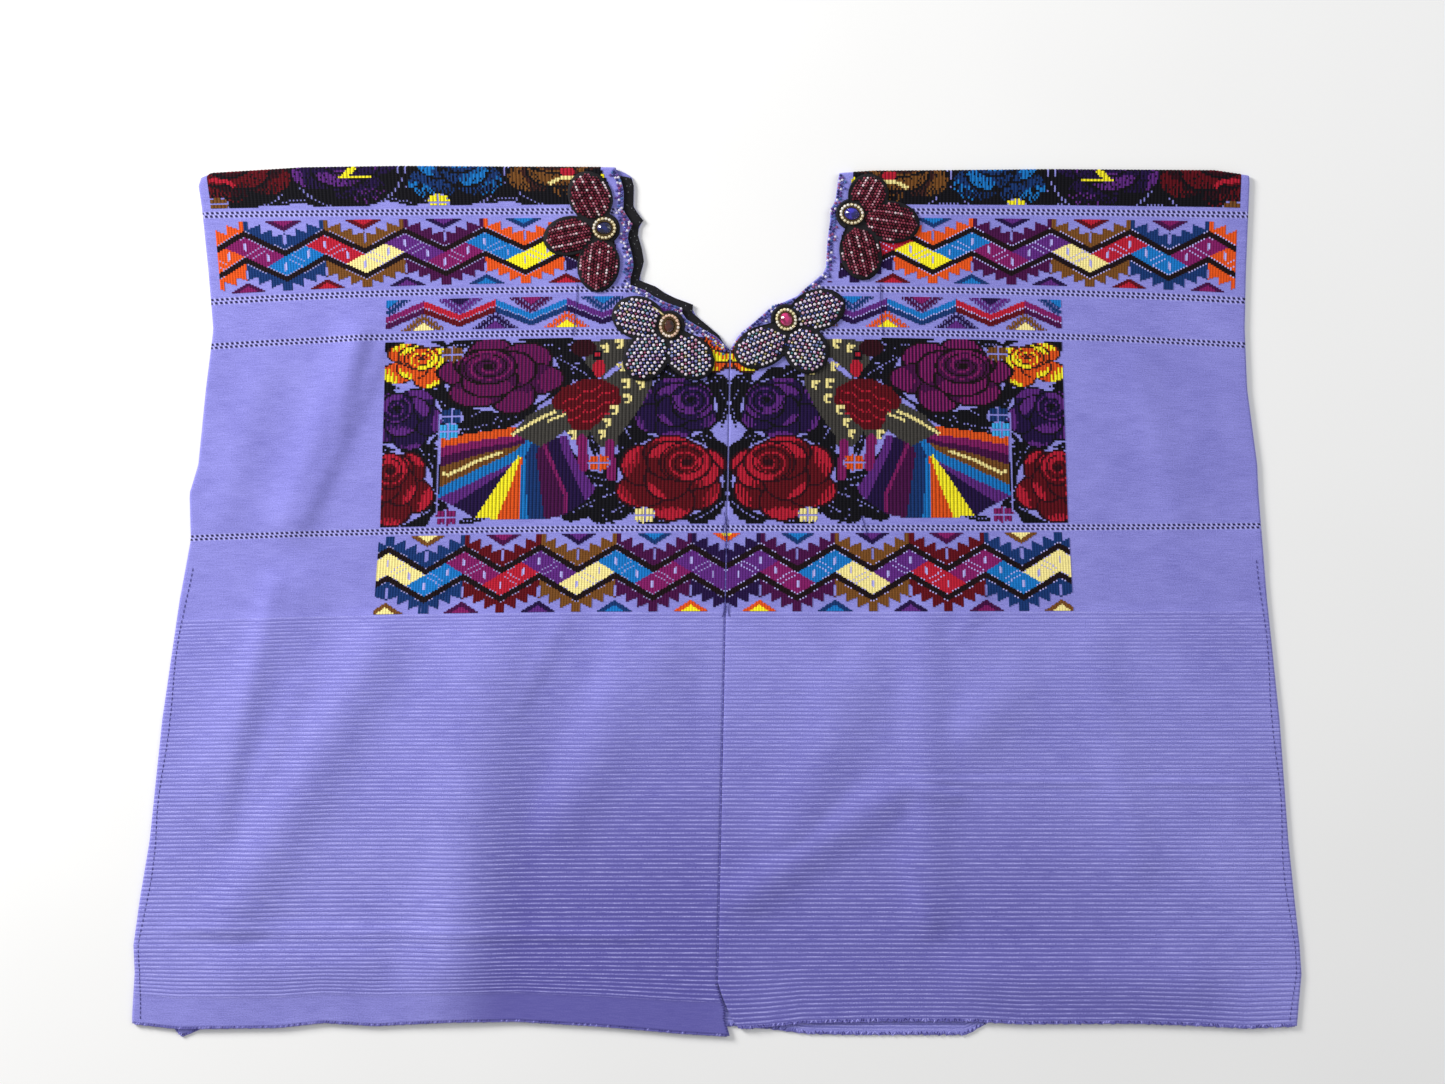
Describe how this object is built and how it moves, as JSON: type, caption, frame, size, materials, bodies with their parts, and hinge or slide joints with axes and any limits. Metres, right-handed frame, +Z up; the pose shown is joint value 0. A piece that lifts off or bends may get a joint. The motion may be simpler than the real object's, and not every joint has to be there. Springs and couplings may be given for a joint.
{
  "type": "huipil blouse",
  "caption": "Huipil blouse laid flat: brocaded cotton lengths folded at the shoulder and joined at the centre, with a V neck edged by beaded petal patches and set stones.",
  "frame": {"origin": "on the surface that the blouse lies on, under the middle of its outline", "axes": "+X across the blouse, to the right of someone who looks down on the front, +Y to the shoulder, +Z up out of the front"},
  "size_m": [0.9342, 0.695, 0.011],
  "materials": {
    "woven_cotton": "matte lavender cotton, corded, with brocade in many colours",
    "facing_cloth": "matte black cloth",
    "beaded_patch": "black cloth under burgundy, rose and clear iridescent beads",
    "gilt_beads": "pale gilt, set with small clear stones",
    "stone_upper_left": "polished dark blue glass, foiled",
    "stone_upper_right": "polished royal blue glass, foiled",
    "stone_lower_left": "polished dark garnet glass, foiled",
    "stone_lower_right": "polished ruby glass, foiled"
  },
  "bodies": {
    "root": {"left_web": "woven_cotton", "right_web": "woven_cotton", "neck_facing": "facing_cloth", "patch_upper_left": "beaded_patch", "patch_upper_right": "beaded_patch", "patch_lower_left": "beaded_patch", "patch_lower_right": "beaded_patch", "ring_upper_left": "gilt_beads", "ring_upper_right": "gilt_beads", "ring_lower_left": "gilt_beads", "ring_lower_right": "gilt_beads", "stone_upper_left": "stone_upper_left", "stone_upper_right": "stone_upper_right", "stone_lower_left": "stone_lower_left", "stone_lower_right": "stone_lower_right"}
  },
  "joints": []
}
